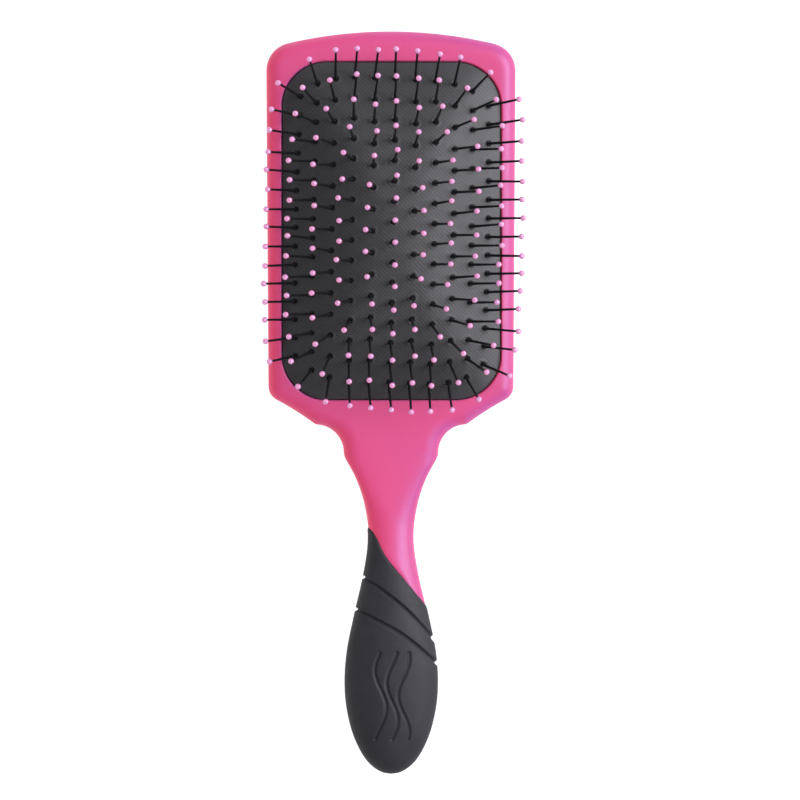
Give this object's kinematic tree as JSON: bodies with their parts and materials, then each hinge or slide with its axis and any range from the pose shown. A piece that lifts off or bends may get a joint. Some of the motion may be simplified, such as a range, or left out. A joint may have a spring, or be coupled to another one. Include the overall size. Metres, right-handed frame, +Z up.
{
  "type": "paddle brush",
  "caption": "Flat rectangular cushion hair brush with ball-tipped pins on a domed rubber pad, a scalloped neck and a tapered handle with a soft wrap-around grip.",
  "frame": {"origin": "middle of the bounding box, on the surface that the brush lies on, back down and bristles up", "axes": "+Z up, the way the bristles point; +Y along the handle towards the head's far end; +X across the head"},
  "size_m": [0.0934, 0.267, 0.0452],
  "materials": {
    "pink_shell": "soft-touch satin pink",
    "grip_rubber": "charcoal moulded rubber, fine matte",
    "cushion_rubber": "dark grey rubber with a fine diagonal weave",
    "pin_nylon": "black nylon pin",
    "pin_tip": "glossy lilac pink ball tip"
  },
  "bodies": {
    "handle": {"paddle_body": "pink_shell", "grip_sleeve": "grip_rubber"},
    "cushion": {"cushion_pad": "cushion_rubber"},
    "bristle_column_01": {"bristles_01a": "pin_nylon", "bristles_01b": "pin_nylon", "bristles_01c": "pin_nylon"},
    "bristle_column_02": {"bristles_02a": "pin_nylon", "bristles_02b": "pin_nylon", "bristles_02c": "pin_nylon"},
    "bristle_column_03": {"bristles_03a": "pin_nylon", "bristles_03b": "pin_nylon", "bristles_03c": "pin_nylon"},
    "bristle_column_04": {"bristles_04a": "pin_nylon", "bristles_04b": "pin_nylon", "bristles_04c": "pin_nylon"},
    "bristle_column_05": {"bristles_05a": "pin_nylon", "bristles_05b": "pin_nylon", "bristles_05c": "pin_nylon"},
    "bristle_column_06": {"bristles_06a": "pin_nylon", "bristles_06b": "pin_nylon", "bristles_06c": "pin_nylon"},
    "bristle_column_07": {"bristles_07a": "pin_nylon", "bristles_07b": "pin_nylon", "bristles_07c": "pin_nylon"},
    "bristle_column_08": {"bristles_08a": "pin_nylon", "bristles_08b": "pin_nylon", "bristles_08c": "pin_nylon"},
    "bristle_column_09": {"bristles_09a": "pin_nylon", "bristles_09b": "pin_nylon", "bristles_09c": "pin_nylon"},
    "bristle_column_10": {"bristles_10a": "pin_nylon", "bristles_10b": "pin_nylon", "bristles_10c": "pin_nylon"},
    "bristle_column_11": {"bristles_11a": "pin_nylon", "bristles_11b": "pin_nylon", "bristles_11c": "pin_nylon"}
  },
  "joints": [
    {"name": "cushion_press", "type": "slide", "parent": "handle", "child": "cushion", "axis": [0, 0, -1], "range_m": [0, 0.003], "stiffness_N_per_m": 2500, "deforming": ["cushion_pad"]},
    {"name": "column_01_tilt", "type": "hinge", "parent": "cushion", "child": "bristle_column_01", "pos_m": [-0.03454, 0.06282, 0.01199], "axis": [0.0209, 0.9998, 0], "range_deg": [-12, 12], "stiffness_Nm_per_rad": 0.05},
    {"name": "column_02_tilt", "type": "hinge", "parent": "cushion", "child": "bristle_column_02", "pos_m": [-0.02847, 0.06254, 0.01394], "axis": [0.0209, 0.9998, 0], "range_deg": [-12, 12], "stiffness_Nm_per_rad": 0.05},
    {"name": "column_03_tilt", "type": "hinge", "parent": "cushion", "child": "bristle_column_03", "pos_m": [-0.02185, 0.06223, 0.01516], "axis": [0.0209, 0.9998, 0], "range_deg": [-12, 12], "stiffness_Nm_per_rad": 0.05},
    {"name": "column_04_tilt", "type": "hinge", "parent": "cushion", "child": "bristle_column_04", "pos_m": [-0.01481, 0.0619, 0.01611], "axis": [0.0209, 0.9998, 0], "range_deg": [-12, 12], "stiffness_Nm_per_rad": 0.05},
    {"name": "column_05_tilt", "type": "hinge", "parent": "cushion", "child": "bristle_column_05", "pos_m": [-0.00748, 0.06155, 0.01677], "axis": [0.0209, 0.9998, 0], "range_deg": [-12, 12], "stiffness_Nm_per_rad": 0.05},
    {"name": "column_06_tilt", "type": "hinge", "parent": "cushion", "child": "bristle_column_06", "pos_m": [-0.00001, 0.0612, 0.01705], "axis": [0.0209, 0.9998, 0], "range_deg": [-12, 12], "stiffness_Nm_per_rad": 0.05},
    {"name": "column_07_tilt", "type": "hinge", "parent": "cushion", "child": "bristle_column_07", "pos_m": [0.00746, 0.06085, 0.01677], "axis": [0.0209, 0.9998, 0], "range_deg": [-12, 12], "stiffness_Nm_per_rad": 0.05},
    {"name": "column_08_tilt", "type": "hinge", "parent": "cushion", "child": "bristle_column_08", "pos_m": [0.01478, 0.06051, 0.01611], "axis": [0.0209, 0.9998, 0], "range_deg": [-12, 12], "stiffness_Nm_per_rad": 0.05},
    {"name": "column_09_tilt", "type": "hinge", "parent": "cushion", "child": "bristle_column_09", "pos_m": [0.02183, 0.06017, 0.01515], "axis": [0.0209, 0.9998, 0], "range_deg": [-12, 12], "stiffness_Nm_per_rad": 0.05},
    {"name": "column_10_tilt", "type": "hinge", "parent": "cushion", "child": "bristle_column_10", "pos_m": [0.02845, 0.05986, 0.01394], "axis": [0.0209, 0.9998, 0], "range_deg": [-12, 12], "stiffness_Nm_per_rad": 0.05},
    {"name": "column_11_tilt", "type": "hinge", "parent": "cushion", "child": "bristle_column_11", "pos_m": [0.03452, 0.05958, 0.01199], "axis": [0.0209, 0.9998, 0], "range_deg": [-12, 12], "stiffness_Nm_per_rad": 0.05}
  ]
}
